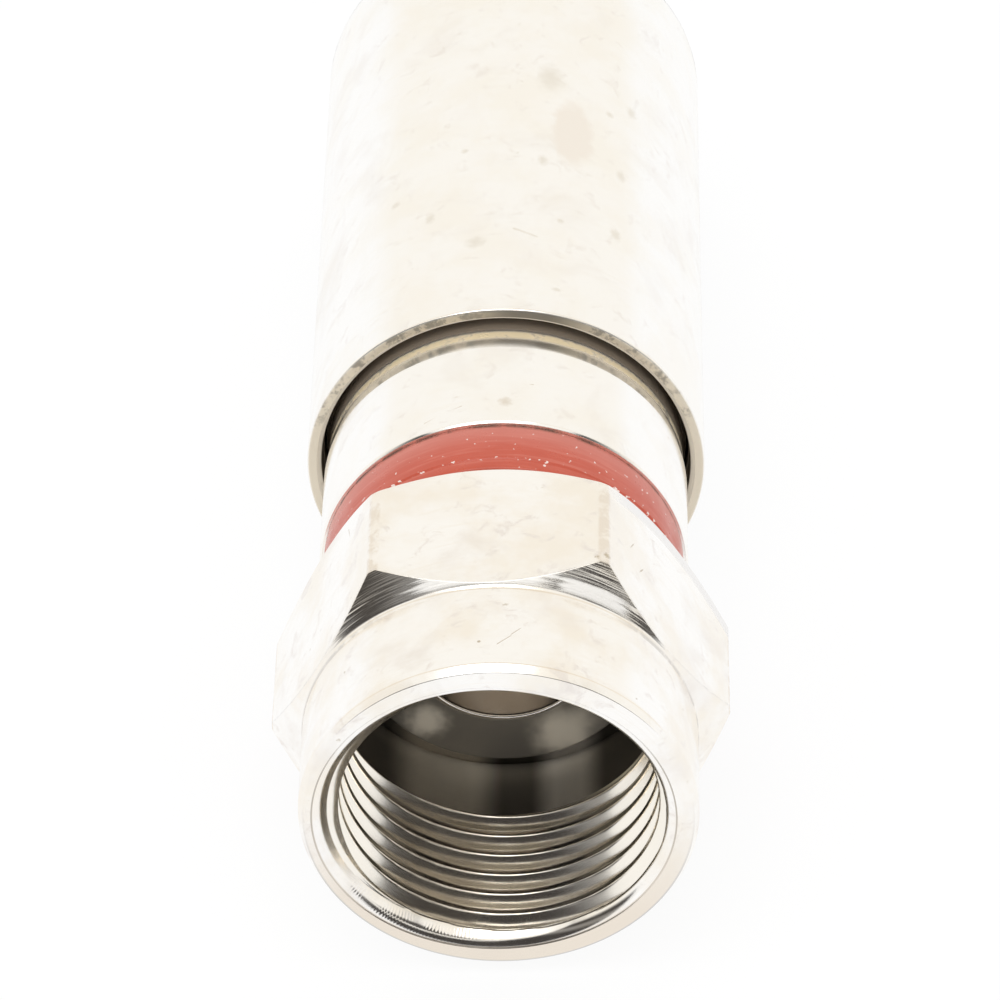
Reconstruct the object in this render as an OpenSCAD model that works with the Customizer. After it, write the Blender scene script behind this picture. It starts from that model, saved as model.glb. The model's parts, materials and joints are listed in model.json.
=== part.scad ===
// Compression F connector for coaxial cable.
// The axis runs along Y: the nut's open mouth lies at y = 0 and faces -Y,
// and the cable enters the compression sleeve from +Y. All sizes are in millimetres.

/* [Thread] */
// Nominal (major) diameter of the internal thread
thread_d = 9.525; // [9.0:0.005:9.8]
// Pitch of the thread
thread_pitch = 0.794; // [0.6:0.001:1.0]
// Length from the nut's front face to the end of the thread
thread_length = 4.95; // [3.5:0.05:6]
// Radial step from the thread's major diameter out to the mouth and the relief
thread_relief = 0.09; // [0.05:0.01:0.2]

/* [Coupling nut] */
// Distance across the hex flats
nut_across_flats = 11.11; // [10.8:0.01:13.6]
// Radial amount turned off the hex corners
corner_trim = 0.07; // [0.02:0.01:0.3]
// Turn of the hex about its axis at rest, in degrees
hex_turn = -2.4; // [-30:0.1:30]
// Length of the round collar ahead of the hex
collar_length = 3.33; // [1:0.01:4.5]
// Radial step from the flats down to the collar
collar_step = 0.10; // [0.05:0.01:0.3]
// Rounding of the collar's front edge
collar_round = 0.17; // [0.05:0.01:0.3]
// Angle of the front bevel, measured from the axis
front_bevel = 48; // [30:1:70]
// Angle of the rear bevel, measured from the axis
rear_bevel = 47; // [30:1:70]
// Radial depth of the rear bevel below the flats
rear_bevel_depth = 0.47; // [0.2:0.01:0.6]
// Depth from the front face to the post's flange, where the mating port seats
seat_depth = 6.98; // [6.2:0.01:9]
// Thickness of the nut's inward lip, held behind the post's flange
lip_thickness = 0.45; // [0.3:0.01:1]

/* [Post] */
// Bore of the post, for the cable's insulation
post_bore_d = 4.90; // [4.0:0.05:5.3]
// Wall of the post's shank, where the nut turns on it and the body holds it
shank_wall = 0.60; // [0.4:0.01:0.7]
// Wall of the post's thin tail, under the cable's braid
tail_wall = 0.30; // [0.2:0.01:0.4]
// Height of the barb above the tail
barb_height = 0.30; // [0.15:0.01:0.35]
// Length of the barb
barb_length = 1.2; // [0.6:0.1:2]
// Radial width of the flange outside the shank
flange_width = 1.05; // [0.7:0.01:1.2]
// Thickness of the flange
flange_thickness = 0.50; // [0.4:0.01:1]

/* [Cable] */
// Diameter over the cable's jacket
jacket_d = 7.0; // [5.8:0.1:8.6]

/* [Body] */
// Wall of the body around the grip ring's nose
body_wall = 0.70; // [0.5:0.01:1]
// Wall of the body's nose, around the post's shank
nose_wall = 0.65; // [0.4:0.01:0.8]
// Length of the post's press fit in the body
press_length = 5.0; // [3:0.1:8]
// Size of the edge break on the body's front edge
body_edge = 0.10; // [0.05:0.01:0.2]

/* [Colour ring] */
// Width of the ring along the axis
ring_width = 1.84; // [1:0.01:3]
// Radial thickness of the ring
ring_wall = 0.75; // [0.4:0.01:0.9]
// How far the ring lies below the body's surface
ring_inset = 0.13; // [0:0.01:0.3]
// Width of the lower step at the ring's front
ring_step_width = 0.42; // [0.2:0.01:0.8]
// Radial drop of that step
ring_step_drop = 0.07; // [0.03:0.01:0.15]

/* [Seals] */
// Section diameter of the seal ring behind the nut
nut_seal_section = 0.80; // [0.6:0.05:0.9]
// Section diameter of the seal ring under the sleeve
sleeve_seal_section = 0.80; // [0.6:0.05:1]
// Distance from the sleeve's front rim back to its seal ring
sleeve_seal_place = 3.0; // [2:0.1:5]

/* [Compression sleeve] */
// Length of the sleeve
sleeve_length = 19.5; // [17:0.1:26]
// Wall of the sleeve
sleeve_wall = 0.47; // [0.35:0.01:0.8]
// Travel of the sleeve towards the nut when it is crimped
sleeve_travel = 4.2; // [3:0.1:5]
// Radial depth of the lead-in recess at the sleeve's front rim
lead_in = 0.12; // [0.05:0.01:0.2]
// Length of the lead-in recess
lead_in_length = 0.8; // [0.3:0.1:2]
// Thickness of the sleeve's end wall, around the cable entry
end_wall = 1.6; // [1:0.1:3]
// Rounding of the sleeve's rear edge
end_round = 0.8; // [0.3:0.1:1.2]
// Radial step from the grip ring's bore out to the hole in the end wall
end_hole_step = 0.20; // [0.1:0.05:0.4]

/* [Grip ring] */
// Wall of the grip ring's nose
grip_wall = 0.60; // [0.4:0.01:0.8]
// Length of the grip ring's thick rear flange
grip_flange = 2.4; // [1.5:0.1:3]
// Length of the grip ring's nose
grip_nose = 5.4; // [4:0.1:6.5]

/* [Clearances] */
// Radial running clearance between the nut's lip and the post
run_gap = 0.08; // [0.04:0.01:0.1]
// Axial clearance between pieces that turn or meet end to end
end_gap = 0.06; // [0.04:0.01:0.1]
// Radial sliding clearance between the sleeve and the body
slide_gap = 0.05; // [0.03:0.01:0.1]
// Radial clearance left by a press fit or a stretched ring
press_gap = 0.01; // [0.005:0.005:0.02]
// Radial clearance around the cable's jacket
jacket_gap = 0.25; // [0.15:0.05:0.4]
// Radial clearance between the grip ring's nose and the body
nose_gap = 0.20; // [0.1:0.05:0.3]
// Axial gap left at the end of the sleeve's travel
travel_gap = 0.22; // [0.1:0.01:0.5]
// Axial gap between the nut's rear face and the ring behind it
nut_ring_gap = 0.20; // [0.1:0.01:0.4]

/* [Hidden] */
$fn = 96;
EPS = 0.01;            // overlap that keeps cuts clean

// Radii of the thread and of the nut
minor_r = (thread_d - thread_pitch) / 2;
mouth_r = thread_d / 2 + thread_relief / 3;
relief_r = thread_d / 2 + thread_relief;
flat_r = nut_across_flats / 2;
corner_r = flat_r / cos(30) - corner_trim;
collar_r = flat_r - collar_step;
rear_r = flat_r - rear_bevel_depth;

// Radii of the post
bore_r = post_bore_d / 2;
shank_r = bore_r + shank_wall;
tail_r = bore_r + tail_wall;
flange_r = shank_r + flange_width;
flange_edge = 0.08;    // edge break on the flange and on its bore
lip_r = shank_r + run_gap;

// Radii of the cable's way, from the jacket out to the sleeve
entry_r = jacket_d / 2 + jacket_gap;
grip_r = entry_r + grip_wall;
rear_bore_r = grip_r + nose_gap;
body_r = rear_bore_r + body_wall;
chamber_step = 0.6;    // the chamber behind the post is this much smaller in radius
chamber_r = rear_bore_r - chamber_step;
sleeve_bore_r = body_r + slide_gap;
sleeve_r = sleeve_bore_r + sleeve_wall;

// Radii of the body's nose, of the ring and of the seals
nose_r = shank_r + nose_wall;
ring_r = body_r - ring_inset;
neck_r = ring_r - ring_wall;
nut_seal_r = nose_r + press_gap + nut_seal_section / 2;
pocket_r = nut_seal_r + nut_seal_section / 2 + end_gap;
sleeve_seal_r = body_r - sleeve_seal_section / 2;
groove_r = sleeve_seal_r - sleeve_seal_section / 2 - press_gap;

// Places along the axis, counted from the nut's front face
flange_back = seat_depth + flange_thickness;
lip_front = flange_back + end_gap;
lip_back = lip_front + lip_thickness;
nose_front = lip_back + end_gap;
neck_front = nose_front + nut_seal_section;
nut_length = neck_front - nut_ring_gap;
ring_back = neck_front + ring_width;
sleeve_front = ring_back + travel_gap + sleeve_travel;
sleeve_end = sleeve_front + sleeve_length;
grip_back = sleeve_end - end_wall;
grip_front = grip_back - grip_flange;
body_end = grip_front - sleeve_travel - travel_gap;
press_end = nose_front + press_length;
rear_bore_start = body_end - grip_nose - travel_gap;
tail_end = body_end - 0.6;
groove_place = sleeve_front + sleeve_seal_place;

// Turns a profile of [radius, place] points about the axis and lays it along +Y
module turned(points) {
    rotate([-90, 0, 0]) rotate_extrude() polygon(points);
}

// Solid of revolution between two places, with one radius at each
module plug(r1, y1, r2, y2) {
    turned([[0, y1], [r1, y1], [r2, y2], [0, y2]]);
}

// Ring of round section about the axis
module seal_ring(ring_radius, section, place) {
    translate([0, place, 0]) rotate([-90, 0, 0])
        rotate_extrude() translate([ring_radius, 0]) circle(d = section, $fn = 48);
}

// Points of a quarter round of radius size, from angle a1 to a2, about a centre
function arc(centre, size, a1, a2, steps = 5) =
    [for (i = [0:steps]) let (a = a1 + (a2 - a1) * i / steps)
        [centre[0] + size * cos(a), centre[1] + size * sin(a)]];

// Outline turned on the nut before its flats are cut
module nut_blank() {
    front_corner = collar_length + (corner_r - collar_r) / tan(front_bevel);
    rear_corner = nut_length - (corner_r - rear_r) / tan(rear_bevel);
    turned(concat(
        [[0, 0]],
        arc([collar_r - collar_round, collar_round], collar_round, -90, 0),
        [[collar_r, collar_length], [corner_r, front_corner],
         [corner_r, rear_corner], [rear_r, nut_length], [0, nut_length]]));
}

module coupling_nut() {
    chamfer = mouth_r - minor_r;
    color([0.86, 0.84, 0.79]) difference() {
        intersection() {
            nut_blank();
            rotate([0, hex_turn, 0]) rotate([-90, 0, 0])
                cylinder(r = flat_r / cos(30), h = nut_length, $fn = 6);
        }
        // thread, drawn as its minor bore, with the chamfer at the mouth
        plug(mouth_r + EPS, -EPS, minor_r, chamfer);
        plug(minor_r, 0, minor_r, thread_length + EPS);
        // relief behind the thread, where the post's flange lies
        plug(relief_r, thread_length, relief_r, lip_front);
        // bore of the lip, and the seal's pocket behind it
        plug(lip_r, lip_front - EPS, lip_r, nut_length + EPS);
        plug(pocket_r, lip_back, pocket_r, nut_length + EPS);
    }
}

module post() {
    barb_r = tail_r + barb_height;
    barb_start = tail_end - barb_length;
    color([0.80, 0.78, 0.73]) turned([
        [bore_r + flange_edge, seat_depth],
        [flange_r - flange_edge, seat_depth],
        [flange_r, seat_depth + flange_edge],
        [flange_r, flange_back],
        [shank_r, flange_back],
        [shank_r, press_end],
        [tail_r, press_end],
        [tail_r, barb_start],
        [barb_r, barb_start],
        [tail_r - tail_wall / 2, tail_end],
        [bore_r, tail_end],
        [bore_r, seat_depth + flange_edge]]);
}

module nut_seal() {
    color([0.08, 0.08, 0.08])
        seal_ring(nut_seal_r, nut_seal_section, neck_front - nut_seal_section / 2);
}

module colour_ring() {
    front_round = 0.12;
    step_back = neck_front + ring_step_width;
    step_r = ring_r - ring_step_drop;
    color([0.80, 0.42, 0.36]) turned(concat(
        [[neck_r + press_gap, neck_front]],
        arc([step_r - front_round, neck_front + front_round], front_round, -90, 0),
        [[step_r, step_back], [ring_r, step_back], [ring_r, ring_back],
         [neck_r + press_gap, ring_back]]));
}

module body() {
    groove_half = sleeve_seal_section / 2 + end_gap;
    color([0.88, 0.86, 0.81]) turned([
        [shank_r + press_gap, nose_front],
        [nose_r, nose_front],
        [nose_r, neck_front],
        [neck_r, neck_front],
        [neck_r, ring_back],
        [body_r - body_edge, ring_back],
        [body_r, ring_back + body_edge],
        [body_r, groove_place - groove_half],
        [groove_r, groove_place - groove_half],
        [groove_r, groove_place + groove_half],
        [body_r, groove_place + groove_half],
        [body_r, body_end - body_edge],
        [body_r - body_edge, body_end],
        [rear_bore_r, body_end],
        [rear_bore_r, rear_bore_start],
        [chamber_r, rear_bore_start - chamber_step],
        [chamber_r, press_end],
        [shank_r + press_gap, press_end]]);
}

module sleeve_seal() {
    color([0.08, 0.08, 0.08])
        seal_ring(sleeve_seal_r, sleeve_seal_section, groove_place);
}

module compression_sleeve() {
    rim_round = 0.10;
    lead_r = sleeve_bore_r + lead_in;
    color([0.88, 0.86, 0.81]) turned(concat(
        [[lead_r, sleeve_front]],
        arc([sleeve_r - rim_round, sleeve_front + rim_round], rim_round, -90, 0, 3),
        arc([sleeve_r - end_round, sleeve_end - end_round], end_round, 0, 90, 6),
        [[entry_r + end_hole_step, sleeve_end],
         [entry_r + end_hole_step, grip_back],
         [sleeve_bore_r, grip_back],
         [sleeve_bore_r, sleeve_front + lead_in_length],
         [lead_r, sleeve_front + lead_in_length]]));
}

module grip_ring() {
    tip = grip_front - grip_nose;
    tip_drop = 0.25;   // the nose narrows by this much in radius towards its tip
    tip_length = 1.5;
    color([0.92, 0.90, 0.84]) turned([
        [entry_r, tip],
        [grip_r - tip_drop, tip],
        [grip_r, tip + tip_length],
        [grip_r, grip_front],
        [sleeve_bore_r - press_gap, grip_front],
        [sleeve_bore_r - press_gap, grip_back],
        [entry_r, grip_back]]);
}

coupling_nut();
post();
nut_seal();
colour_ring();
body();
sleeve_seal();
compression_sleeve();
grip_ring();
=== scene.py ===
"""Looks of a compression F connector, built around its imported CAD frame.

The axis runs along +Y from the nut's mouth, and the connector lies on its side with +Z up.
Sizes are in millimetres, and MM turns them into metres where a mesh is made.
"""

import json
import math

import bpy
from mathutils import Matrix, Vector


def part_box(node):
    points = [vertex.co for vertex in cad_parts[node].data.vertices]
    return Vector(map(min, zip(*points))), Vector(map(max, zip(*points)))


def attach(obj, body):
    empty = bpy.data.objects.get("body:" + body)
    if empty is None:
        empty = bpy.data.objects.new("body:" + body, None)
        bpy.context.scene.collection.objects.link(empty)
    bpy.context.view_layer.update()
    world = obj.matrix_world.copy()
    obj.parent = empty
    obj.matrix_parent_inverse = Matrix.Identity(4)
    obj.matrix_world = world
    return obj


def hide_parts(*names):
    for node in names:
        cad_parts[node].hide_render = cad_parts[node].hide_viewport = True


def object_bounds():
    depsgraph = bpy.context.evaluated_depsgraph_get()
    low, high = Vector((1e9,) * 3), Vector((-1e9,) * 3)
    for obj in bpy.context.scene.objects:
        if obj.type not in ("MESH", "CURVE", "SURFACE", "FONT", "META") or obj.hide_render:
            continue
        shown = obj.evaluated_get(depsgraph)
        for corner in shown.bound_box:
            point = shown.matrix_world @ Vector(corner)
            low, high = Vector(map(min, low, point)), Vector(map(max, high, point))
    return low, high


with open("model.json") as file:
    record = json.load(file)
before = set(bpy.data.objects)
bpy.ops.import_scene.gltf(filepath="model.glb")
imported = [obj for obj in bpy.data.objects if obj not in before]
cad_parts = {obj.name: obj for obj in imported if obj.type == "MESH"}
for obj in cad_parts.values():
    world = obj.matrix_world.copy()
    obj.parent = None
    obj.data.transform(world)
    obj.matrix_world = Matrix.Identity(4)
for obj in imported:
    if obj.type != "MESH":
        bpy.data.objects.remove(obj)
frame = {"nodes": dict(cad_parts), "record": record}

MM = 0.001
cad_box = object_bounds()

# ---------------------------------------------------------------- sizes

MOUNTS = {m["name"]: m for m in frame["record"]["mounts"]}


def reach(node):
    """Front place, rear place and outer radius of a turned CAD node, in millimetres."""
    low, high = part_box(node)
    return low.y / MM, high.y / MM, high.z / MM


# coupling nut
NUT_LENGTH = reach("coupling_nut")[1]
FLAT_R = 5.555            # half of the 7/16 in across the flats
CORNER_R = 6.345          # hex corners, turned down
HEX_TURN = -2.4           # degrees about the axis
COLLAR_R, COLLAR_LENGTH = 5.455, 3.33
FRONT_BEVEL, REAR_BEVEL = 48.0, 47.0
REAR_R = 5.085
THREAD_R, THREAD_PITCH, THREAD_LENGTH = 4.7625, 25.4 / 32, 4.95
MINOR_R = MOUNTS["nut_thread"]["dims"]["r_mm"]
THREAD_START = 0.256      # turns past the top where a root meets the mouth
THREAD_ROW = 0.025        # spacing of the thread's points along the axis
RELIEF_R = 4.85           # behind the thread
MOUTH_R, MOUTH_ROUND = 4.88, 0.50
MOUTH_DEPTH = 0.45        # the thread's rows end here, and the mouth's edge begins
EDGE_STEP = 0.025         # fine step at the mouth's edge
LIP_FRONT, LIP_BACK, LIP_R, POCKET_R = 7.54, 7.99, 3.13, 4.57

# post
SEAT, POST_END, FLANGE_R = reach("post")
BORE_R = MOUNTS["post_bore"]["dims"]["r_mm"]
FLANGE_BACK, PRESS_END, SHANK_R = 7.48, 13.05, 3.05
TAIL_R, BARB_R, BARB_LENGTH = 2.75, 3.05, 1.2

# ring and body
RING_FRONT, RING_BACK, RING_R = reach("colour_ring")
RING_STEP, STEP_DROP = 0.43, 0.04       # the ring's front step
NOSE_FRONT, BODY_END, BODY_R = reach("body")
NECK_R, NOSE_R = 4.36, 3.70
GROOVE_FRONT, GROOVE_BACK, GROOVE_R = 17.66, 18.58, 4.44
CHAMBER_R, REAR_BORE_R, REAR_BORE_START = 3.95, 4.55, 20.57
RUBBED_R = BODY_R - 0.11  # where the sleeve's front has rubbed the body
FIT = 0.01                # between pressed pieces

# sleeve and grip ring
SLEEVE_FRONT, SLEEVE_END, SLEEVE_R = reach("compression_sleeve")
SLEEVE_BORE_R, LEAD_R, LEAD_LENGTH, END_WALL = 5.30, 5.42, 0.8, 1.6
END_HOLE_R = MOUNTS["cable_entry"]["dims"]["r_mm"]
GRIP_TIP, GRIP_BACK, GRIP_FLANGE_R = reach("grip_ring")
GRIP_R, GRIP_BORE_R, GRIP_TAPER, GRIP_FLANGE = 4.35, 3.75, 1.5, 2.4

ROUND_STEPS = 5           # facets of a rounded corner
SEGMENTS = 288            # facets round a turned piece


# ---------------------------------------------------------------- turned shapes


def rounded(corners):
    """Closed outline whose corners (radius, place, rounding) are replaced by short arcs.

    A point just outside each arc holds the straight run beside it flat when it is shaded smooth.
    """
    outline = []
    for i, (r, y, rounding) in enumerate(corners):
        here = Vector((r, y))
        before = Vector(corners[i - 1][:2]) - here
        after = Vector(corners[(i + 1) % len(corners)][:2]) - here
        way_in, way_out = before.normalized(), after.normalized()
        half = way_in.angle(way_out) / 2
        setback = rounding / math.tan(half)
        hold_in = min(setback + 0.4 * rounding, max(setback * 1.05, before.length / 2))
        hold_out = min(setback + 0.4 * rounding, max(setback * 1.05, after.length / 2))
        centre = here + (way_in + way_out).normalized() * rounding / math.sin(half)
        start = here + way_in * setback - centre
        turn = math.pi - 2 * half
        if start.x * way_out.y - start.y * way_out.x < 0:
            turn = -turn
        outline.append(here + way_in * hold_in)
        for step in range(ROUND_STEPS + 1):
            a = turn * step / ROUND_STEPS
            outline.append(centre + Vector((start.x * math.cos(a) - start.y * math.sin(a),
                                            start.x * math.sin(a) + start.y * math.cos(a))))
        outline.append(here + way_out * hold_out)
    return outline


def ring_mesh(name, angles, outline_at):
    """Closed mesh whose section at each angle from the top, in radians, is outline_at(angle)."""
    sections = [outline_at(a) for a in angles]
    count = len(sections[0])
    verts = [(p[0] * math.sin(a) * MM, p[1] * MM, p[0] * math.cos(a) * MM)
             for a, section in zip(angles, sections) for p in section]
    faces = []
    for i in range(len(angles)):
        here, there = i * count, (i + 1) % len(angles) * count
        for k in range(count):
            after = (k + 1) % count
            faces.append((here + k, here + after, there + after, there + k))
    mesh = bpy.data.meshes.new(name)
    mesh.from_pydata(verts, [], faces)
    mesh.validate()
    area = sum(p[0] * q[1] - q[0] * p[1] for p, q in zip(sections[0], sections[0][1:] + sections[0][:1]))
    if area > 0:
        mesh.flip_normals()    # the faces point outward
    mesh.polygons.foreach_set("use_smooth", [True] * len(mesh.polygons))
    piece = bpy.data.objects.new(name, mesh)
    bpy.context.scene.collection.objects.link(piece)
    return piece


def turned(name, corners):
    """Solid of revolution about the axis, from the corners of its section."""
    outline = rounded(corners)
    angles = [2 * math.pi * i / SEGMENTS for i in range(SEGMENTS)]
    return ring_mesh(name, angles, lambda angle: outline)


def finish_piece(piece, node, body, material):
    """Gives a piece its material and puts it in place of its CAD node."""
    piece.data.materials.append(material)
    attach(piece, body)
    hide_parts(node)
    return piece


# ---------------------------------------------------------------- coupling nut


def hex_radius(angle):
    """Radius of the hex outline at an angle from the top, with its corners turned down and eased."""
    from_flat = (math.degrees(angle) - HEX_TURN + 30) % 60 - 30
    flat = FLAT_R / math.cos(math.radians(from_flat))
    ease = 0.012
    return (flat + CORNER_R - math.sqrt((flat - CORNER_R) ** 2 + ease ** 2)) / 2


def soft_clip(value, ease=0.05):
    """Keeps value between 0 and 1, with eased corners."""
    def above(v):
        return (v + math.sqrt(v * v + ease * ease)) / 2
    return 1 - above(1 - above(value))


def thread_radius(angle, place):
    """Radius of the right-hand internal thread: crests on the minor radius, roots on the major."""
    turn = (place / THREAD_PITCH - angle / (2 * math.pi) - THREAD_START) % 1
    from_crest = 0.5 - abs(turn - 0.5)    # 0 in the middle of a root, 0.5 in the middle of a crest
    crest, flank = 1 / 4, 5 / 16
    rise = (0.5 - from_crest - crest / 2) / flank
    return MINOR_R + (THREAD_R - MINOR_R) * soft_clip(rise)


def mouth_edge(angle):
    """Radius of the mouth's edge, whose rounding is cut a little to the left and wider at the sides."""
    return MOUTH_R - 0.125 * math.sin(angle) - 0.03 * math.cos(angle) - 0.09 * math.cos(2 * angle)


def mouth_outline(angle):
    """Points from the thread's last row out to the front face, round the mouth's rolled edge."""
    edge, start, end = mouth_edge(angle), math.radians(14 - 5 * math.cos(angle)), math.radians(57)
    points = []
    for place in (0.42, 0.38, 0.34, 0.30, 0.26):
        slope = (place - MOUTH_ROUND * (math.cos(start) - math.cos(end))) / math.tan(end)
        r = edge - MOUTH_ROUND * (math.sin(end) - math.sin(start)) - slope
        points.append((r, place))
    steps = 16
    for i in range(steps, -1, -1):
        t = start + (end - start) * i / steps
        points.append((edge - MOUTH_ROUND * (math.sin(t) - math.sin(start)),
                       MOUTH_ROUND * (math.cos(start) - math.cos(t))))
    cut = [Vector((max(thread_radius(angle, place), r), place + EDGE_STEP)) for r, place in points]
    return cut + [Vector((edge + EDGE_STEP / 2, 0.0)), Vector((edge + EDGE_STEP, 0.0))]


def nut_outline(angle):
    """Section of the coupling nut at an angle from the top."""
    hex_r = hex_radius(angle)
    front_edge = COLLAR_LENGTH + (hex_r - COLLAR_R) / math.tan(math.radians(FRONT_BEVEL))
    rear_edge = NUT_LENGTH - (hex_r - REAR_R) / math.tan(math.radians(REAR_BEVEL))
    outside = rounded([
        (MOUTH_R, 0.0, 0.01),
        (COLLAR_R - 0.145, 0.0, 0.035),
        (COLLAR_R, 0.23, 0.16),
        (COLLAR_R, COLLAR_LENGTH, 0.22),
        (hex_r, front_edge, 0.03),
        (hex_r, rear_edge, 0.05),
        (REAR_R, NUT_LENGTH, 0.05),
        (POCKET_R, NUT_LENGTH, 0.04),
        (POCKET_R, LIP_BACK, 0.04),
        (LIP_R, LIP_BACK, 0.04),
        (LIP_R, LIP_FRONT, 0.04),
        (RELIEF_R, LIP_FRONT, 0.05),
        (RELIEF_R, THREAD_LENGTH, 0.03),
        (MINOR_R - 0.3, THREAD_LENGTH, 0.02),
    ])
    points_per_corner = ROUND_STEPS + 3
    outside = outside[points_per_corner:-points_per_corner]    # the first and last corner only aim the runs
    rows = round(THREAD_LENGTH / THREAD_ROW)
    places = [THREAD_LENGTH * i / rows for i in range(rows, round(MOUTH_DEPTH / THREAD_ROW), -1)]
    thread = [Vector((thread_radius(angle, place), place)) for place in places]
    return outside + thread + mouth_outline(angle)


def nut_angles():
    """Angles of the nut's sections, in radians: even over each flat and close at its corners."""
    flat = [-27.6 + 55.2 * i / 26 for i in range(27)]
    corner = [28.0 + 0.25 * i for i in range(16)]
    return [math.radians(HEX_TURN + 60 * k + a) for k in range(6) for a in flat + corner]


# ---------------------------------------------------------------- node helpers


def node_of(tree, kind, **settings):
    """Adds a node and sets its own settings."""
    node = tree.nodes.new(kind)
    for name, value in settings.items():
        setattr(node, name, value)
    return node


def feed(tree, socket, value):
    """Links value into socket if it is a socket, or else writes it there."""
    if isinstance(value, bpy.types.NodeSocket):
        tree.links.new(value, socket)
    else:
        socket.default_value = value


def calc(tree, operation, *values):
    """Math node on one to three numbers or sockets."""
    node = node_of(tree, "ShaderNodeMath", operation=operation)
    for socket, value in zip(node.inputs, values):
        feed(tree, socket, value)
    return node.outputs[0]


def product(tree, first, *others):
    """Product of several numbers or sockets."""
    for other in others:
        first = calc(tree, "MULTIPLY", first, other)
    return first


def ramp(tree, value, start, end, low=0.0, high=1.0):
    """Runs smoothly from low to high while value goes from start to end."""
    if start > end:
        start, end, low, high = end, start, high, low
    node = node_of(tree, "ShaderNodeMapRange", interpolation_type="SMOOTHSTEP")
    for socket, number in zip(node.inputs, (value, start, end, low, high)):
        feed(tree, socket, number)
    return node.outputs[0]


def band(tree, value, start, end, soft):
    """1 between start and end, with soft edges."""
    return product(tree, ramp(tree, value, start - soft, start + soft),
                   ramp(tree, value, end + soft, end - soft))


def blend(tree, share, a, b):
    """Colour that goes from a to b with share."""
    node = node_of(tree, "ShaderNodeMix", data_type="RGBA")
    feed(tree, node.inputs[0], share)
    for socket, colour in ((node.inputs[6], a), (node.inputs[7], b)):
        feed(tree, socket, colour if isinstance(colour, bpy.types.NodeSocket) else (*colour, 1))
    return node.outputs[2]


class Place:
    """Where a shaded point is on a turned piece, in millimetres."""

    def __init__(self, tree):
        self.tree = tree
        coords = node_of(tree, "ShaderNodeTexCoord").outputs["Object"]
        scale = node_of(tree, "ShaderNodeVectorMath", operation="SCALE")
        tree.links.new(coords, scale.inputs[0])
        scale.inputs["Scale"].default_value = 1 / MM
        self.point = scale.outputs[0]
        parts = node_of(tree, "ShaderNodeSeparateXYZ")
        tree.links.new(self.point, parts.inputs[0])
        self.x, self.along, self.z = parts.outputs
        self.radius = calc(tree, "POWER", calc(tree, "ADD", calc(tree, "POWER", self.x, 2.0),
                                               calc(tree, "POWER", self.z, 2.0)), 0.5)

    def stretched(self, round_scale, along_scale):
        """Point for a texture that is fine along the section and long around the axis."""
        tree = self.tree
        section = calc(tree, "ADD", self.along, calc(tree, "MULTIPLY", self.radius, 1.3))
        joined = node_of(tree, "ShaderNodeCombineXYZ")
        for socket, value, scale in zip(joined.inputs, (self.x, section, self.z),
                                        (round_scale, along_scale, round_scale)):
            feed(tree, socket, calc(tree, "MULTIPLY", value, scale))
        return joined.outputs[0]

    def noise(self, scale, detail=2.0, rough=0.5, seed=0.0, vector=None, distortion=0.0):
        """Noise from 0 to 1; scale is in features per millimetre."""
        node = node_of(self.tree, "ShaderNodeTexNoise", noise_dimensions="4D")
        self.tree.links.new(vector or self.point, node.inputs["Vector"])
        for name, value in (("Scale", scale), ("Detail", detail), ("Roughness", rough), ("W", seed),
                            ("Distortion", distortion)):
            node.inputs[name].default_value = value
        return node.outputs[0]

    def spot(self, degrees, along, radius, size, stretch=1.0, soft=0.5, ragged=0.3):
        """Mask of one mark at an angle from the top and a place along the axis. stretch lengthens it
        along the axis."""
        tree = self.tree
        a = math.radians(degrees)
        centre = Vector((radius * math.sin(a), along, radius * math.cos(a)))
        away = node_of(tree, "ShaderNodeVectorMath", operation="SUBTRACT")
        tree.links.new(self.point, away.inputs[0])
        away.inputs[1].default_value = centre
        squeeze = node_of(tree, "ShaderNodeVectorMath", operation="MULTIPLY")
        tree.links.new(away.outputs[0], squeeze.inputs[0])
        squeeze.inputs[1].default_value = (1, 1 / stretch, 1)
        length = node_of(tree, "ShaderNodeVectorMath", operation="LENGTH")
        tree.links.new(squeeze.outputs[0], length.inputs[0])
        wobble = calc(tree, "MULTIPLY_ADD", self.noise(1.5 / size, 2, seed=along), ragged * size * 2,
                      -ragged * size)
        distance = calc(tree, "ADD", length.outputs["Value"], wobble)
        return ramp(tree, distance, size * (1 + soft), size * (1 - soft))

    def scratch(self, start, end, radius, width):
        """Mask of a thin straight scratch between two (degrees, along) places on a radius."""
        tree = self.tree
        ends = [Vector((radius * math.sin(math.radians(d)), y, radius * math.cos(math.radians(d))))
                for d, y in (start, end)]
        way = ends[1] - ends[0]
        away = node_of(tree, "ShaderNodeVectorMath", operation="SUBTRACT")
        tree.links.new(self.point, away.inputs[0])
        away.inputs[1].default_value = ends[0]
        dot = node_of(tree, "ShaderNodeVectorMath", operation="DOT_PRODUCT")
        tree.links.new(away.outputs[0], dot.inputs[0])
        dot.inputs[1].default_value = way / way.length_squared
        share = calc(tree, "MINIMUM", calc(tree, "MAXIMUM", dot.outputs["Value"], 0.0), 1.0)
        nearest = node_of(tree, "ShaderNodeVectorMath", operation="SCALE")
        nearest.inputs[0].default_value = way
        feed(tree, nearest.inputs["Scale"], share)
        gap = node_of(tree, "ShaderNodeVectorMath", operation="DISTANCE")
        tree.links.new(away.outputs[0], gap.inputs[0])
        tree.links.new(nearest.outputs[0], gap.inputs[1])
        ragged = calc(tree, "MULTIPLY", self.noise(4.0, 3, seed=start[1]), width)
        return ramp(tree, calc(tree, "ADD", gap.outputs["Value"], ragged), width * 1.5, width * 0.6)


def most(tree, masks):
    """The largest of several masks."""
    result = masks[0]
    for mask in masks[1:]:
        result = calc(tree, "MAXIMUM", result, mask)
    return result


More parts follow.
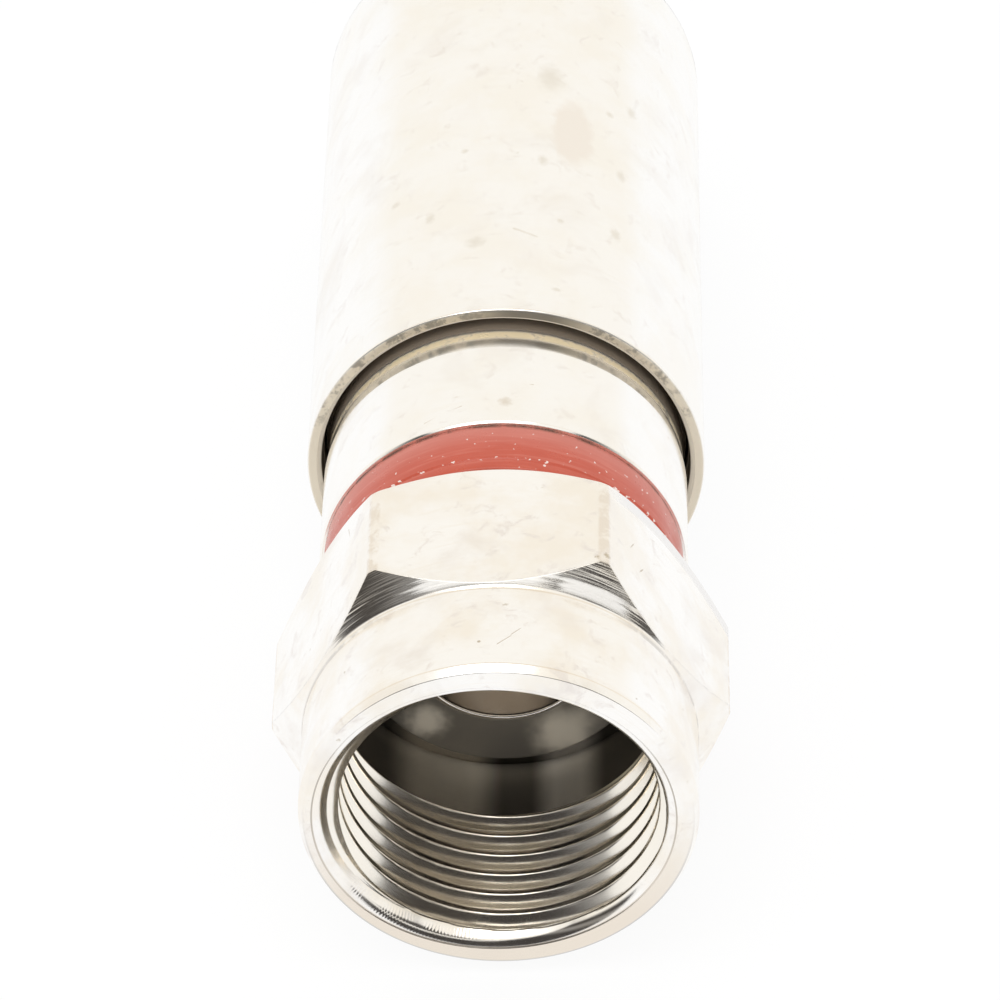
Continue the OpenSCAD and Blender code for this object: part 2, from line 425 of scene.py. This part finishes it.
def bump(tree, shader, height, microns):
    """Raises the surface by height, from 0 to 1, times microns."""
    node = node_of(tree, "ShaderNodeBump")
    node.inputs["Strength"].default_value = 1.0
    node.inputs["Distance"].default_value = microns * 1e-6
    feed(tree, node.inputs["Height"], height)
    tree.links.new(node.outputs[0], shader.inputs["Normal"])


# ---------------------------------------------------------------- materials


def new_material(name, **values):
    """Node material with one Principled shader, whose sockets are set from values."""
    material = bpy.data.materials.new(name)
    material.use_nodes = True
    shader = material.node_tree.nodes["Principled BSDF"]
    for socket, value in values.items():
        shader.inputs[socket.replace("_", " ")].default_value = value
    return material, material.node_tree, shader


def nickel(name, clean, warm, roughness, zones=(), spots=(), scratches=(), spot_colour=(0.5, 0.42, 0.30),
           turning=0.5, handling=0.4, relief=None):
    """Bright nickel plate: soft warm patches, turning marks round the axis, smudges, pits and marks.

    A zone is (colour, added roughness, mask of a Place, metal) for a part of the piece with another
    finish, and some zones paint shade and highlights instead. Later zones cover earlier ones. spots and
    scratches hold the values for Place.spot and Place.scratch. turning is the height of the turning marks,
    handling the share of smudges, and relief gives more height from a Place. Heights are in microns.
    """
    material, tree, shader = new_material(name)
    place = Place(tree)
    patches = ramp(tree, place.noise(0.45, 4, 0.6, seed=2.0), 0.40, 0.66)
    colour = blend(tree, patches, clean, warm)
    streaks = place.noise(1.0, 4, 0.62, seed=5.0, vector=place.stretched(0.35, 9.0))
    colour = blend(tree, ramp(tree, streaks, 0.50, 0.78, 0.0, 0.5), colour, warm)
    wiped = place.noise(0.5, 5, 0.55, seed=31.0, distortion=0.5)
    colour = blend(tree, ramp(tree, wiped, 0.50, 0.75, 0.0, handling), colour, (0.87, 0.82, 0.77))
    rubbed = place.noise(1.4, 5, 0.6, seed=47.0, distortion=0.8)
    colour = blend(tree, ramp(tree, rubbed, 0.56, 0.70, 0.0, handling), colour, (0.85, 0.80, 0.76))
    rough = calc(tree, "ADD", ramp(tree, wiped, 0.3, 0.8, roughness, roughness + 0.08),
                 calc(tree, "MULTIPLY", streaks, 0.06))
    pits = ramp(tree, place.noise(3.2, 2, 0.5, seed=14.0), 0.72, 0.78, 0.0, 0.5)
    colour = blend(tree, pits, colour, spot_colour)
    masks = [place.spot(*spot) for spot in spots] + [place.scratch(*line) for line in scratches]
    if masks:
        colour = blend(tree, product(tree, most(tree, masks), 0.8), colour, spot_colour)
    metal = 1.0
    for zone_colour, zone_rough, masked, zone_metal in zones:
        mask = masked(place)
        colour = blend(tree, mask, colour, zone_colour)
        rough = calc(tree, "MULTIPLY_ADD", mask, zone_rough, rough)
        metal = calc(tree, "MULTIPLY_ADD", mask, zone_metal - 1.0, metal)
    feed(tree, shader.inputs["Base Color"], colour)
    feed(tree, shader.inputs["Roughness"], rough)
    feed(tree, shader.inputs["Metallic"], metal)
    height = calc(tree, "MULTIPLY", streaks, turning)
    if relief:
        height = calc(tree, "ADD", height, relief(place))
    bump(tree, shader, height, 1.0)
    return material


# ---- masks on the coupling nut


def inside_nut(place):
    """The thread, behind the mouth's edge."""
    tree = place.tree
    return product(tree, ramp(tree, place.radius, RELIEF_R + 0.10, RELIEF_R + 0.05),
                   ramp(tree, place.along, 0.30, 0.55))


def painted_shade_deep_in_nut(place):
    """The relief and the seat behind the thread, painted dark as the shade deep in the nut."""
    tree = place.tree
    return product(tree, ramp(tree, place.radius, RELIEF_R + 0.10, RELIEF_R + 0.05),
                   ramp(tree, place.along, THREAD_LENGTH - 0.05, THREAD_LENGTH + 0.1))


def painted_shade_on_thread(place):
    """Painted shade on the threads on the left of the nut's lower half."""
    tree = place.tree
    return product(tree, inside_nut(place), band(tree, place.x, -2.9, -0.5, 0.5),
                   ramp(tree, place.z, -2.5, -3.5))


def painted_glint_inside(place):
    """A painted highlight streak along the inside, right of its middle."""
    tree = place.tree
    return product(tree, ramp(tree, place.radius, RELIEF_R + 0.10, RELIEF_R + 0.05),
                   ramp(tree, place.along, 0.4, 0.6), band(tree, place.x, 1.1, 2.5, 0.4),
                   ramp(tree, place.z, 0.5, -0.2))


def mouth_crease_shade(place):
    """Painted shade along the crease where the mouth's rolled edge starts, on its lower part."""
    tree = place.tree
    return product(tree, band(tree, place.along, 0.0055, 0.035, 0.0035),
                   ramp(tree, place.radius, MOUTH_R + 0.34, MOUTH_R + 0.30), ramp(tree, place.z, 3.5, 1.5))


def shaded_low_face(place):
    """The lower half of the nut's front face, painted darker and warmer as shade."""
    tree = place.tree
    return product(tree, ramp(tree, place.along, 0.05, 0.02), ramp(tree, place.z, 1.0, -4.0))


def face_rim_shade(place):
    """A painted shade line along the rim of that face."""
    tree = place.tree
    return product(tree, shaded_low_face(place), ramp(tree, place.radius, COLLAR_R - 0.22, COLLAR_R - 0.14))


def bevel(place):
    """The turned bevel in front of the hex."""
    tree = place.tree
    past = calc(tree, "SUBTRACT", place.radius, COLLAR_R)
    cone = calc(tree, "DIVIDE", past, math.tan(math.radians(FRONT_BEVEL)))
    behind = calc(tree, "SUBTRACT", calc(tree, "SUBTRACT", place.along, COLLAR_LENGTH), cone)
    return product(tree, ramp(tree, past, 0.03, 0.14), ramp(tree, behind, 0.05, 0.02))


def bevel_shine(place):
    """Painted highlights: bright streaks on top of the bevel, and low on its right side."""
    tree = place.tree
    streaks = place.noise(1.0, 2, 0.6, seed=12.0, vector=place.stretched(0.30, 7.0))
    middle = ramp(tree, calc(tree, "ABSOLUTE", calc(tree, "ADD", place.x, 0.35)), 3.2, 0.6)
    right = product(tree, band(tree, place.x, 1.6, 3.6, 0.7), ramp(tree, place.radius, 6.05, 5.60))
    shine = calc(tree, "ADD", calc(tree, "MAXIMUM", middle, right), streaks)
    return product(tree, bevel(place), ramp(tree, place.z, 0.0, 1.0), ramp(tree, shine, 0.85, 1.20))


def hex_root_shade(place):
    """Painted shade in the corner between the collar and the sides of the hex, broken up by noise."""
    tree = place.tree
    return product(tree, band(tree, place.along, COLLAR_LENGTH - 0.16, COLLAR_LENGTH - 0.02, 0.04),
                   ramp(tree, place.radius, COLLAR_R - 0.2, COLLAR_R - 0.1),
                   ramp(tree, calc(tree, "ABSOLUTE", place.x), 3.0, 4.0),
                   ramp(tree, place.noise(1.8, 4, 0.7, seed=53.0), 0.38, 0.52))


def hex_corner(place):
    """Rubbed hex corners."""
    tree = place.tree
    return product(tree, ramp(tree, place.radius, CORNER_R - 0.05, CORNER_R - 0.015),
                   ramp(tree, place.noise(2.0, 4, 0.7, seed=59.0), 0.40, 0.58))


def rear_edge(place):
    """The dull edge behind the hex's right side."""
    tree = place.tree
    past = calc(tree, "SUBTRACT", place.radius, REAR_R)
    cone = calc(tree, "DIVIDE", past, math.tan(math.radians(REAR_BEVEL)))
    ahead = calc(tree, "SUBTRACT", calc(tree, "SUBTRACT", NUT_LENGTH, place.along), cone)
    return product(tree, ramp(tree, ahead, 0.50, 0.38), ramp(tree, place.along, 6.3, 6.6),
                   ramp(tree, place.x, 3.0, 3.6))


def nut_relief(place):
    """Coarse turning lines on the bevel, and chatter of the tool on the lower left of the mouth's edge."""
    tree = place.tree
    lines = place.noise(1.0, 1.5, 0.6, seed=8.0, vector=place.stretched(0.30, 7.0))
    degrees = calc(tree, "MULTIPLY", calc(tree, "ARCTAN2", place.x, place.z), 180 / math.pi)
    wander = calc(tree, "MULTIPLY", place.noise(2.5, 2, seed=7.0), 9.0)
    teeth = calc(tree, "SINE", calc(tree, "ADD", calc(tree, "MULTIPLY", degrees, 5.2), wander))
    ragged = ramp(tree, place.noise(1.8, 4, seed=6.0), 0.35, 0.65)
    chatter = product(tree, teeth, band(tree, degrees, -178.0, -122.0, 8.0),
                      band(tree, place.along, 0.05, 0.34, 0.05), ragged, 1.4)
    return calc(tree, "ADD", product(tree, lines, bevel(place), 13.0), chatter)


# ---- masks on the post, the body and the sleeve


def shaded_flange_face(place):
    """The front face of the post's flange, painted dark as the shade deep in the nut."""
    tree = place.tree
    return product(tree, ramp(tree, place.radius, BORE_R + 0.10, BORE_R + 0.16),
                   ramp(tree, place.along, SEAT + 0.30, SEAT + 0.20))


def flange_highlights(place):
    """Two painted bright highlights low on the post's flange."""
    tree = place.tree
    right = place.spot(150.0, SEAT, 3.5, 0.80, 1.0, 0.7, 0.5)
    left = place.spot(-140.0, SEAT, 3.4, 0.50, 1.0, 0.7, 0.5)
    return product(tree, shaded_flange_face(place), calc(tree, "MAXIMUM", right, left))


def gap_shade(place):
    """Painted brown shade on the body, in and just before the gap under the sleeve's front."""
    return band(place.tree, place.along, SLEEVE_FRONT - 0.15, SLEEVE_FRONT + 1.6, 0.06)


def reflected_rim_band(place):
    """A painted golden reflection of the sleeve's front face before that shade, with dark flecks."""
    tree = place.tree
    return product(tree, band(tree, place.along, SLEEVE_FRONT - 0.58, SLEEVE_FRONT - 0.22, 0.08),
                   ramp(tree, place.noise(2.6, 4, 0.7, seed=61.0), 0.36, 0.50, 0.45, 1.0))


def peach_stain(place):
    """A pale stain to the right of the sleeve's top."""
    return place.spot(20.0, 24.0, SLEEVE_R, 0.62, 2.4, 0.25, 0.35)


def rim_face(place):
    """The sleeve's cut front face."""
    tree = place.tree
    return product(tree, ramp(tree, place.radius, SLEEVE_R - 0.01, SLEEVE_R - 0.06),
                   ramp(tree, place.along, SLEEVE_FRONT + 0.12, SLEEVE_FRONT + 0.05))


def rim_top_shade(place):
    """Painted shade on that face: solid at its top, and in specks toward its sides."""
    tree = place.tree
    specks = product(tree, ramp(tree, place.noise(2.2, 5, 0.75, seed=41.0), 0.47, 0.60),
                     ramp(tree, place.z, 0.5, 3.0), 0.75)
    solid = product(tree, ramp(tree, place.z, 4.0, 5.0), band(tree, place.x, -0.6, 2.2, 1.0))
    return product(tree, rim_face(place), calc(tree, "MAXIMUM", specks, solid))


def rim_chamfer_highlight(place):
    """The chamfer inside the sleeve's front face, painted pale as a highlight."""
    tree = place.tree
    return product(tree, ramp(tree, place.radius, LEAD_R + 0.10, LEAD_R + 0.06),
                   ramp(tree, place.along, SLEEVE_FRONT + 0.15, SLEEVE_FRONT + 0.11))


def shaded_lead_in(place):
    """The sleeve's bore, in front of its end wall, painted dark as the shade in the gap."""
    tree = place.tree
    return product(tree, ramp(tree, place.radius, LEAD_R + 0.04, LEAD_R + 0.01),
                   ramp(tree, place.along, SLEEVE_END - END_WALL + 0.1, SLEEVE_END - END_WALL - 0.1))


# ---- the materials themselves

# On the nut, the dark seat, the dimmer lower-left threads, the mouth's crease line, the lower front face with
# its rim line and the collar's corner are painted shade; the streak inside and the bevel's streaks are
# painted highlights.
NUT_NICKEL = nickel(
    "nut nickel", (0.995, 0.982, 0.96), (0.95, 0.90, 0.82), 0.10,
    zones=[((0.95, 0.905, 0.82), 0.0, inside_nut, 1.0), ((0.20, 0.185, 0.162), 0.35, painted_shade_deep_in_nut, 1.0),
           ((0.84, 0.785, 0.69), 0.05, painted_shade_on_thread, 1.0), ((0.95, 0.92, 0.87), 0.0, painted_glint_inside, 1.0),
           ((0.55, 0.51, 0.45), 0.1, mouth_crease_shade, 1.0),
           ((0.74, 0.71, 0.67), 0.1, hex_root_shade, 1.0), ((0.86, 0.79, 0.70), 0.05, hex_corner, 1.0),
           ((0.86, 0.78, 0.68), 0.05, shaded_low_face, 1.0), ((0.60, 0.60, 0.60), 0.05, face_rim_shade, 1.0),
           ((1.0, 0.98, 0.94), 0.25, bevel_shine, 0.3), ((0.86, 0.845, 0.83), 0.2, rear_edge, 0.1)],
    spots=[(-4.5, 1.12, COLLAR_R, 0.045), (28.2, 4.45, 6.33, 0.10, 1.0, 0.5, 0.9),
           (26.0, 4.30, 6.25, 0.08, 1.0, 0.5, 0.9), (24.0, 4.25, 6.10, 0.05, 1.0, 0.5, 0.9)],
    scratches=[((0.7, 1.00), (4.5, 1.35), COLLAR_R, 0.022), ((4.5, 1.40), (7.1, 1.67), COLLAR_R, 0.016),
               ((34.0, 5.2), (46.0, 7.4), 5.9, 0.04), ((40.0, 5.0), (48.0, 6.2), 5.75, 0.035),
               ((-40.0, 5.0), (-46.0, 7.5), 5.8, 0.035)],
    handling=0.75, relief=nut_relief)
# On the body, the brown band at the sleeve's front is painted shade, and the golden band before it is a
# painted reflection of the sleeve's front face.
BODY_NICKEL = nickel(
    "body nickel", (0.99, 0.98, 0.96), (0.975, 0.95, 0.90), 0.08,
    zones=[((0.62, 0.52, 0.41), 0.1, gap_shade, 0.65), ((0.88, 0.75, 0.51), 0.1, reflected_rim_band, 0.35)],
    spots=[(1.5, RING_BACK + 0.9, BODY_R, 0.16, 1.0, 0.7, 0.6)],
    scratches=[((-24.0, RING_BACK + 0.5), (-12.0, RING_BACK + 0.85), BODY_R, 0.03),
               ((-14.0, RING_BACK + 1.3), (10.0, RING_BACK + 1.75), BODY_R, 0.03)],
    spot_colour=(0.78, 0.71, 0.62))
# On the sleeve, the dark top of the front face and the dark bore are painted shade, and the pale inner
# chamfer is a painted highlight.
SLEEVE_NICKEL = nickel(
    "sleeve nickel", (0.99, 0.98, 0.96), (0.975, 0.95, 0.90), 0.12,
    zones=[((0.93, 0.88, 0.82), 0.05, peach_stain, 1.0), ((0.77, 0.695, 0.57), 0.2, rim_face, 0.6),
           ((0.25, 0.23, 0.20), 0.1, rim_top_shade, 1.0), ((0.22, 0.19, 0.15), 0.2, shaded_lead_in, 0.45),
           ((0.95, 0.91, 0.83), 0.2, rim_chamfer_highlight, 0.1)],
    spots=[(-8.0, 18.4, SLEEVE_R, 0.22, 1.0, 0.8, 0.7), (16.5, 19.6, SLEEVE_R, 0.09, 1.0, 0.8),
           (11.0, 22.4, SLEEVE_R, 0.12, 1.6, 0.8, 0.7), (-22.0, 20.0, SLEEVE_R, 0.12, 1.6, 0.8, 0.7),
           (-34.0, 21.4, SLEEVE_R, 0.12, 1.0, 0.8, 0.7), (-12.0, 22.9, SLEEVE_R, 0.09, 1.0, 0.8),
           (34.0, 19.9, SLEEVE_R, 0.14, 1.6, 0.8, 0.7), (36.0, 22.9, SLEEVE_R, 0.13, 1.5, 0.8, 0.7),
           (40.0, 26.4, SLEEVE_R, 0.14, 1.5, 0.8, 0.7), (32.0, 25.7, SLEEVE_R, 0.11, 1.0, 0.8),
           (15.5, 16.3, SLEEVE_R, 0.12, 0.6, 0.8, 0.7), (13.0, 26.6, SLEEVE_R, 0.30, 1.6, 0.9, 0.7)],
    scratches=[((3.0, 18.95), (9.5, 18.65), SLEEVE_R, 0.07)],
    spot_colour=(0.84, 0.80, 0.73))
# On the post, the flange face is painted dark as shade, and its two bright patches are painted highlights.
POST_TIN = nickel(
    "post tin", (0.94, 0.895, 0.85), (0.86, 0.80, 0.73), 0.12,
    zones=[((0.36, 0.33, 0.285), 0.15, shaded_flange_face, 0.6), ((0.87, 0.79, 0.65), 0.0, flange_highlights, 0.4)],
    turning=0.1)


def red_plastic():
    """Glossy red plastic with a painted sheen that pales it toward the rear, fine moulding lines, white dust
    and painted shade at its rear edge.
    """
    material, tree, shader = new_material("red plastic", Roughness=0.30)
    place = Place(tree)
    mottle = place.noise(1.2, 4, 0.6, seed=3.0)
    colour = blend(tree, mottle, (0.57, 0.092, 0.048), (0.50, 0.076, 0.038))
    # Painted highlight: the ring pales toward its rear.
    rear_sheen = ramp(tree, place.along, RING_FRONT + 0.7, RING_BACK, 0.0, 0.85)
    colour = blend(tree, rear_sheen, colour, (0.61, 0.205, 0.16))
    lines = place.noise(1.0, 4, 0.65, seed=17.0, vector=place.stretched(0.4, 7.0))
    colour = blend(tree, ramp(tree, lines, 0.45, 0.75, 0.0, 0.45), colour, (0.72, 0.26, 0.20))
    dust = place.noise(6.0, 2, 0.5, seed=21.0)
    step = RING_FRONT + RING_STEP - 0.01
    on_step = product(tree, band(tree, place.along, step - 0.06, step + 0.06, 0.05), 0.09)
    dust = calc(tree, "ADD", dust, on_step)
    colour = blend(tree, ramp(tree, dust, 0.675, 0.72), colour, (0.88, 0.74, 0.68))
    # Painted shade along the ring's rear edge, where it meets the body, broken up by noise.
    ring_back_shade = product(tree, ramp(tree, place.along, RING_BACK - 0.14, RING_BACK - 0.03),
                    ramp(tree, place.noise(1.6, 4, 0.7, seed=12.0), 0.42, 0.58), 0.75)
    colour = blend(tree, ring_back_shade, colour, (0.12, 0.07, 0.05))
    feed(tree, shader.inputs["Base Color"], colour)
    feed(tree, shader.inputs["Roughness"], ramp(tree, mottle, 0.3, 0.7, 0.25, 0.40))
    bump(tree, shader, place.noise(1.0, 3, vector=place.stretched(0.5, 8.0)), 1.5)
    return material


def soft_finish(name, colour, other, roughness, grain_microns):
    """Rubber or moulded plastic with a fine grain."""
    material, tree, shader = new_material(name)
    place = Place(tree)
    grain = place.noise(5.0, 4, 0.6, seed=1.0)
    feed(tree, shader.inputs["Base Color"], blend(tree, grain, colour, other))
    feed(tree, shader.inputs["Roughness"], ramp(tree, grain, 0.3, 0.7, roughness - 0.06, roughness + 0.06))
    bump(tree, shader, grain, grain_microns)
    return material


RED = red_plastic()
RUBBER = soft_finish("black rubber", (0.020, 0.020, 0.020), (0.035, 0.034, 0.033), 0.65, 3.0)
ACETAL = soft_finish("white acetal", (0.84, 0.82, 0.76), (0.76, 0.73, 0.66), 0.45, 2.0)


# ---------------------------------------------------------------- pieces


finish_piece(ring_mesh("nut", nut_angles(), nut_outline),
             "coupling_nut", "nut", NUT_NICKEL)

finish_piece(turned("hollow_post", [
    (BORE_R, SEAT, 0.08),
    (FLANGE_R, SEAT, 0.08),
    (FLANGE_R, FLANGE_BACK, 0.04),
    (SHANK_R, FLANGE_BACK, 0.04),
    (SHANK_R, PRESS_END, 0.05),
    (TAIL_R, PRESS_END, 0.05),
    (TAIL_R, POST_END - BARB_LENGTH, 0.03),
    (BARB_R, POST_END - BARB_LENGTH, 0.03),
    (TAIL_R - 0.15, POST_END, 0.04),
    (BORE_R, POST_END, 0.04),
]), "post", "connector_body", POST_TIN)

finish_piece(turned("red_ring", [
    (NECK_R + FIT, RING_FRONT, 0.05),
    (RING_R - STEP_DROP, RING_FRONT, 0.12),
    (RING_R - STEP_DROP, RING_FRONT + RING_STEP - 0.05, 0.03),
    (RING_R, RING_FRONT + RING_STEP, 0.03),
    (RING_R, RING_BACK, 0.04),
    (NECK_R + FIT, RING_BACK, 0.05),
]), "colour_ring", "connector_body", RED)

finish_piece(turned("connector_barrel", [
    (SHANK_R + FIT, NOSE_FRONT, 0.05),
    (NOSE_R, NOSE_FRONT, 0.05),
    (NOSE_R, RING_FRONT, 0.05),
    (NECK_R, RING_FRONT, 0.05),
    (NECK_R, RING_BACK, 0.04),
    (BODY_R - 0.05, RING_BACK, 0.015),
    (BODY_R, RING_BACK + 0.06, 0.05),
    (BODY_R, SLEEVE_FRONT - 1.05, 0.10),
    (RUBBED_R, SLEEVE_FRONT + 0.05, 0.05),
    (RUBBED_R, SLEEVE_FRONT + 0.9, 0.05),
    (BODY_R, SLEEVE_FRONT + 1.2, 0.05),
    (BODY_R, GROOVE_FRONT, 0.04),
    (GROOVE_R, GROOVE_FRONT, 0.04),
    (GROOVE_R, GROOVE_BACK, 0.04),
    (BODY_R, GROOVE_BACK, 0.04),
    (BODY_R, BODY_END, 0.10),
    (REAR_BORE_R, BODY_END, 0.10),
    (REAR_BORE_R, REAR_BORE_START, 0.10),
    (CHAMBER_R, REAR_BORE_START - 0.6, 0.10),
    (CHAMBER_R, PRESS_END, 0.10),
    (SHANK_R + FIT, PRESS_END, 0.05),
]), "body", "connector_body", BODY_NICKEL)

finish_piece(turned("sliding_sleeve", [
    (LEAD_R + 0.08, SLEEVE_FRONT, 0.02),
    (SLEEVE_R, SLEEVE_FRONT, 0.08),
    (SLEEVE_R, SLEEVE_END, 0.80),
    (END_HOLE_R, SLEEVE_END, 0.10),
    (END_HOLE_R, SLEEVE_END - END_WALL, 0.05),
    (SLEEVE_BORE_R, SLEEVE_END - END_WALL, 0.05),
    (SLEEVE_BORE_R, SLEEVE_FRONT + LEAD_LENGTH, 0.02),
    (LEAD_R - 0.06, SLEEVE_FRONT + LEAD_LENGTH, 0.02),
    (LEAD_R - 0.06, SLEEVE_FRONT + 0.14, 0.03),
]), "compression_sleeve", "sleeve", SLEEVE_NICKEL)

finish_piece(turned("cable_grip", [
    (GRIP_BORE_R, GRIP_TIP, 0.05),
    (GRIP_R - 0.25, GRIP_TIP, 0.10),
    (GRIP_R, GRIP_TIP + GRIP_TAPER, 0.20),
    (GRIP_R, GRIP_BACK - GRIP_FLANGE, 0.10),
    (GRIP_FLANGE_R, GRIP_BACK - GRIP_FLANGE, 0.10),
    (GRIP_FLANGE_R, GRIP_BACK, 0.10),
    (GRIP_BORE_R, GRIP_BACK, 0.20),
]), "grip_ring", "sleeve", ACETAL)

for seal in ("nut_seal", "sleeve_seal"):    # these two keep their CAD meshes
    frame["nodes"][seal].data.materials.clear()
    frame["nodes"][seal].data.materials.append(RUBBER)


# ---------------------------------------------------------------- stage


def light_path(tree):
    """Whether a ray comes from the camera, and whether it comes off metal or through glass."""
    path = node_of(tree, "ShaderNodeLightPath").outputs
    return path["Is Camera Ray"], calc(tree, "MAXIMUM", path["Is Glossy Ray"], path["Is Transmission Ray"])


def make_world(diffuse_level=0.90):
    """White tent. The camera sees it white, and so does the metal but for a dark opening low in front,
    a slightly warm roof and a dimmer, warmer band across that roof. Directions are in degrees."""
    world = bpy.data.worlds.new("white tent")
    bpy.context.scene.world = world
    world.use_nodes = True
    tree = world.node_tree
    parts = node_of(tree, "ShaderNodeSeparateXYZ")
    tree.links.new(node_of(tree, "ShaderNodeTexCoord").outputs["Generated"], parts.inputs[0])
    x, y, z = parts.outputs
    ahead = calc(tree, "MULTIPLY", y, -1.0)
    degree = math.pi / 180
    height = calc(tree, "DIVIDE", calc(tree, "ARCSINE", z), degree)
    side = calc(tree, "DIVIDE", calc(tree, "ARCTAN2", x, ahead), degree)
    over = calc(tree, "DIVIDE", calc(tree, "ARCTAN2", z, ahead), degree)

    opening = product(tree, band(tree, height, -1.0, 44.0, 1.8), band(tree, side, -66.0, 66.0, 8.0))
    slant = calc(tree, "ADD", side, calc(tree, "MULTIPLY", height, 2.2))
    bright_strip = band(tree, slant, 86.0, 102.0, 3.0)
    left_glow = product(tree, band(tree, side, -46.0, -32.0, 6.0), 0.25)
    dark = product(tree, opening, calc(tree, "SUBTRACT", 1.0, calc(tree, "MAXIMUM", bright_strip, left_glow)))

    roof = blend(tree, ramp(tree, height, 0.0, 12.0), (1.0, 1.0, 1.0), (0.975, 0.948, 0.895))
    roof = blend(tree, band(tree, over, 97.0, 124.0, 4.0), roof, (0.86, 0.78, 0.66))
    seen = blend(tree, dark, roof, (0.050, 0.045, 0.042))
    to_camera, shiny = light_path(tree)
    colour = blend(tree, to_camera, blend(tree, shiny, (diffuse_level,) * 3, seen), (1.0, 1.0, 1.0))
    feed(tree, tree.nodes["Background"].inputs["Color"], colour)


def make_floor(shadow_share=0.12, contact_share=0.06):
    """Pale floor, white to the camera and in the metal, that keeps a soft share of the shadow."""
    bpy.ops.mesh.primitive_plane_add(size=3.0, location=(0, 0, cad_box[0].z))
    floor = bpy.context.object
    floor.name = "floor"
    material, tree, shader = new_material("pale floor", Base_Color=(1.0, 1.0, 1.0, 1), Roughness=0.9)
    white = node_of(tree, "ShaderNodeEmission")
    white.inputs["Strength"].default_value = 1.0
    to_camera, shiny = light_path(tree)
    lit = calc(tree, "MAXIMUM", product(tree, shiny, 1 - contact_share),
               product(tree, to_camera, 1 - shadow_share))
    mix = node_of(tree, "ShaderNodeMixShader")
    feed(tree, mix.inputs[0], lit)
    tree.links.new(shader.outputs[0], mix.inputs[1])
    tree.links.new(white.outputs[0], mix.inputs[2])
    tree.links.new(mix.outputs[0], tree.nodes["Material Output"].inputs["Surface"])
    floor.data.materials.append(material)


def soft_box(name, azimuth, elevation, distance, size, watts):
    """Square area lamp in metres, aimed at the connector from a direction in degrees."""
    data = bpy.data.lights.new(name, "AREA")
    data.shape, data.size, data.energy = "SQUARE", size, watts
    lamp = bpy.data.objects.new(name, data)
    bpy.context.scene.collection.objects.link(lamp)
    a, e = math.radians(azimuth), math.radians(elevation)
    back = Vector((math.sin(a) * math.cos(e), -math.cos(a) * math.cos(e), math.sin(e)))
    centre = (cad_box[0] + cad_box[1]) / 2
    lamp.location = centre + back * distance
    lamp.rotation_mode = "QUATERNION"
    lamp.rotation_quaternion = back.to_track_quat("Z", "Y")


def place_camera(target, distance, azimuth, elevation, roll, lens):
    """Camera that looks at target, in millimetres, from in front and above. Angles are in degrees."""
    a, e, t = (math.radians(v) for v in (azimuth, elevation, roll))
    back = Vector((math.sin(a) * math.cos(e), -math.cos(a) * math.cos(e), math.sin(e)))
    right = Vector((math.cos(a), math.sin(a), 0))
    up = back.cross(right)
    x_axis = math.cos(t) * right + math.sin(t) * up
    y_axis = -math.sin(t) * right + math.cos(t) * up
    data = bpy.data.cameras.new("camera")
    data.lens = lens
    data.clip_start = 0.01
    camera = bpy.data.objects.new("camera", data)
    bpy.context.scene.collection.objects.link(camera)
    turn = Matrix((x_axis, y_axis, back)).transposed().to_4x4()
    camera.matrix_world = Matrix.Translation((Vector(target) + back * distance) * MM) @ turn
    bpy.context.scene.camera = camera


make_world()
make_floor()
soft_box("top soft box", azimuth=-15, elevation=72, distance=0.45, size=0.30, watts=0.5)
place_camera(target=(-0.15, 13.6, 0.0), distance=173.1, azimuth=1.78, elevation=39.6, roll=-1.53, lens=216)
bpy.context.scene.view_settings.view_transform = "Standard"
